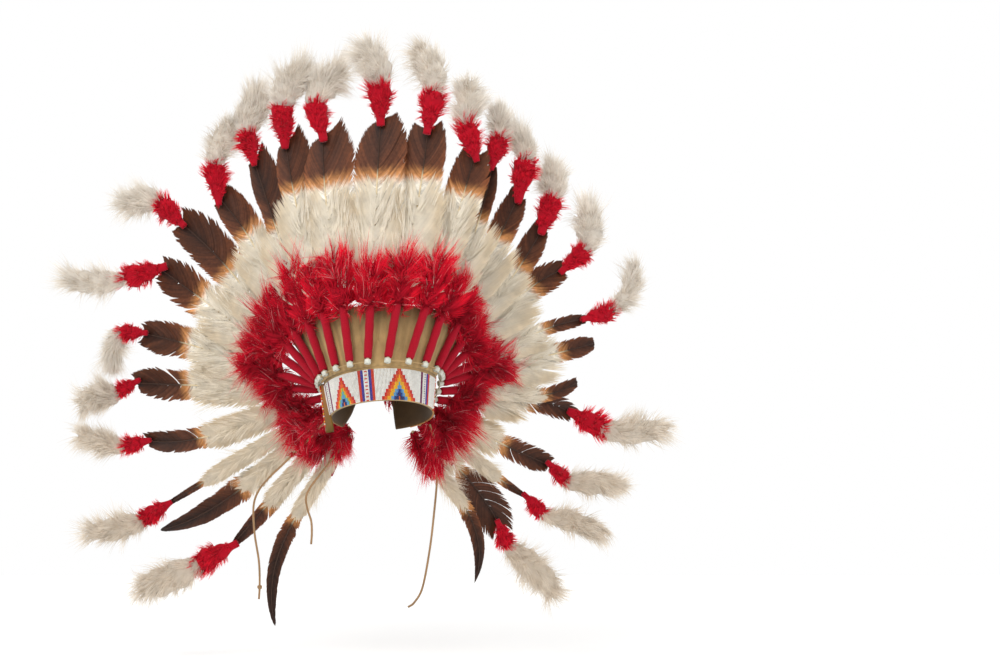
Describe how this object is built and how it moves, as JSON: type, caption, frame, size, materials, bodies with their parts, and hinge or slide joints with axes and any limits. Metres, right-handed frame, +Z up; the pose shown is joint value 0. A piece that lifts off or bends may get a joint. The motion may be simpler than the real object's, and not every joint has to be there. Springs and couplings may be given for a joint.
{
  "type": "feathered headdress",
  "caption": "Flaring feathered headdress: buckskin cap with beaded browband, a ring of long feathers on wool-bound quills, base plumes and tip plumes.",
  "frame": {"origin": "middle of the brow ring of the cap, where a head carries it", "axes": "+X to the viewer's right from the front, the front faces -Y, +Z up"},
  "size_m": [0.8642, 0.3653, 0.8142],
  "materials": {
    "buckskin": "matt smoked buckskin, darkened inside",
    "beadwork": "opaque glossy seed beads with a coloured stepped pattern",
    "wool": "red wool cloth bound round the quills, white beads at their feet",
    "red_plume": "soft dyed red plumes",
    "white_plume": "soft off-white plumes",
    "vane": "white vanes dyed dark brown at the ends, slight sheen",
    "tip_plume": "white plume with a dyed red fluff at its foot",
    "tie": "thin brown leather lace"
  },
  "bodies": {
    "root": {"cap": "buckskin", "browband": "beadwork", "quill_wraps_left": "wool", "quill_wraps_right": "wool", "red_base_plumes": "red_plume", "white_base_plumes": "white_plume", "feather_01": "vane", "feather_02": "vane", "feather_03": "vane", "feather_04": "vane", "feather_05": "vane", "feather_06": "vane", "feather_07": "vane", "feather_08": "vane", "feather_09": "vane", "feather_10": "vane", "feather_11": "vane", "feather_12": "vane", "feather_13": "vane", "feather_14": "vane", "feather_15": "vane", "feather_16": "vane", "feather_17": "vane", "feather_18": "vane", "feather_19": "vane", "feather_20": "vane", "feather_21": "vane", "feather_22": "vane", "feather_23": "vane", "feather_24": "vane", "feather_25": "vane", "feather_26": "vane", "feather_27": "vane", "feather_28": "vane", "tip_plume_02": "tip_plume", "tip_plume_04": "tip_plume", "tip_plume_05": "tip_plume", "tip_plume_06": "tip_plume", "tip_plume_07": "tip_plume", "tip_plume_08": "tip_plume", "tip_plume_09": "tip_plume", "tip_plume_10": "tip_plume", "tip_plume_11": "tip_plume", "tip_plume_12": "tip_plume", "tip_plume_13": "tip_plume", "tip_plume_14": "tip_plume", "tip_plume_15": "tip_plume", "tip_plume_16": "tip_plume", "tip_plume_17": "tip_plume", "tip_plume_18": "tip_plume", "tip_plume_19": "tip_plume", "tip_plume_20": "tip_plume", "tip_plume_21": "tip_plume", "tip_plume_24": "tip_plume", "tip_plume_25": "tip_plume", "tip_plume_26": "tip_plume", "tip_plume_27": "tip_plume", "tie_left_long": "tie", "tie_left_short": "tie", "tie_right_long": "tie"}
  },
  "joints": []
}
